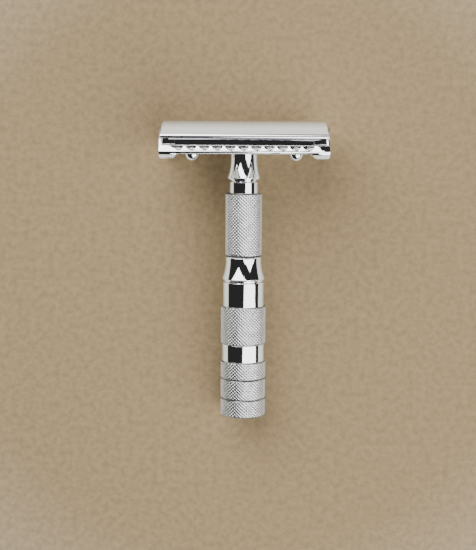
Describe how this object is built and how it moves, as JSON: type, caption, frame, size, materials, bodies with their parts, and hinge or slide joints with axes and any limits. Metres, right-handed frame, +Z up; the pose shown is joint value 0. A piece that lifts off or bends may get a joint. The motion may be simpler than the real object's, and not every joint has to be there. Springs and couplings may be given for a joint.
{
  "type": "double-edge safety razor",
  "caption": "Short chromed double-edge safety razor with a screw-down three-piece head, scalloped safety bar and a two-part handle of knurled rings.",
  "frame": {"origin": "on the surface the razor lies on, under the middle of its bounding box; it rests on the guard's rear bar and the rim of the handle's foot", "axes": "+X along the head, +Y along the razor from the foot of the handle to the cap, +Z up away from the surface; the handle's own axis rises 5.40 degrees from +Y towards the head"},
  "size_m": [0.0428, 0.0764, 0.0244],
  "materials": {
    "chrome_polished": "mirror polish",
    "chrome_knurled": "bright plating over fine diamond knurling",
    "blade_steel": "fine ground stainless steel",
    "stud_steel": "bright turned steel, threaded",
    "washer_rubber": "matt black"
  },
  "bodies": {
    "upper_handle": {"neck": "chrome_polished", "upper_sleeve": "chrome_knurled"},
    "guard": {"guard_plate": "chrome_polished"},
    "cap": {"top_cap": "chrome_polished", "cap_stud": "stud_steel", "left_post": "chrome_polished", "right_post": "chrome_polished"},
    "blade": {"blade": "blade_steel"},
    "union_seal": {"union_washer": "washer_rubber"},
    "lower_handle": {"lower_core": "chrome_polished", "lower_sleeve": "chrome_knurled", "spacer_band": "chrome_polished", "ring_upper": "chrome_knurled", "ring_middle": "chrome_knurled", "end_knob": "chrome_knurled"}
  },
  "joints": [
    {"name": "head_turn", "type": "hinge", "parent": "upper_handle", "child": "guard", "pos_m": [0, 0.03202, 0.01234], "axis": [0, 0.9956, 0.0942], "range_deg": [0, 4685]},
    {"name": "cap_travel", "type": "slide", "parent": "guard", "child": "cap", "axis": [0, 0.9956, 0.0942], "range_m": [0, 0.0104]},
    {"name": "blade_travel", "type": "slide", "parent": "guard", "child": "blade", "axis": [0, 0.9956, 0.0942], "range_m": [0, 0.0053]},
    {"name": "union_turn", "type": "hinge", "parent": "upper_handle", "child": "union_seal", "pos_m": [0, 0.00354, 0.00965], "axis": [0, -0.9956, -0.0942], "range_deg": [0, 3245]},
    {"name": "union_travel", "type": "slide", "parent": "union_seal", "child": "lower_handle", "axis": [0, -0.9956, -0.0942], "range_m": [0, 0.0072]}
  ],
  "couplings": [
    {"joint": "head_turn", "follows": "cap_travel", "rad_per_m": 7854},
    {"joint": "blade_travel", "follows": "cap_travel", "ratio": 0.5},
    {"joint": "union_turn", "follows": "union_travel", "rad_per_m": 7854}
  ]
}
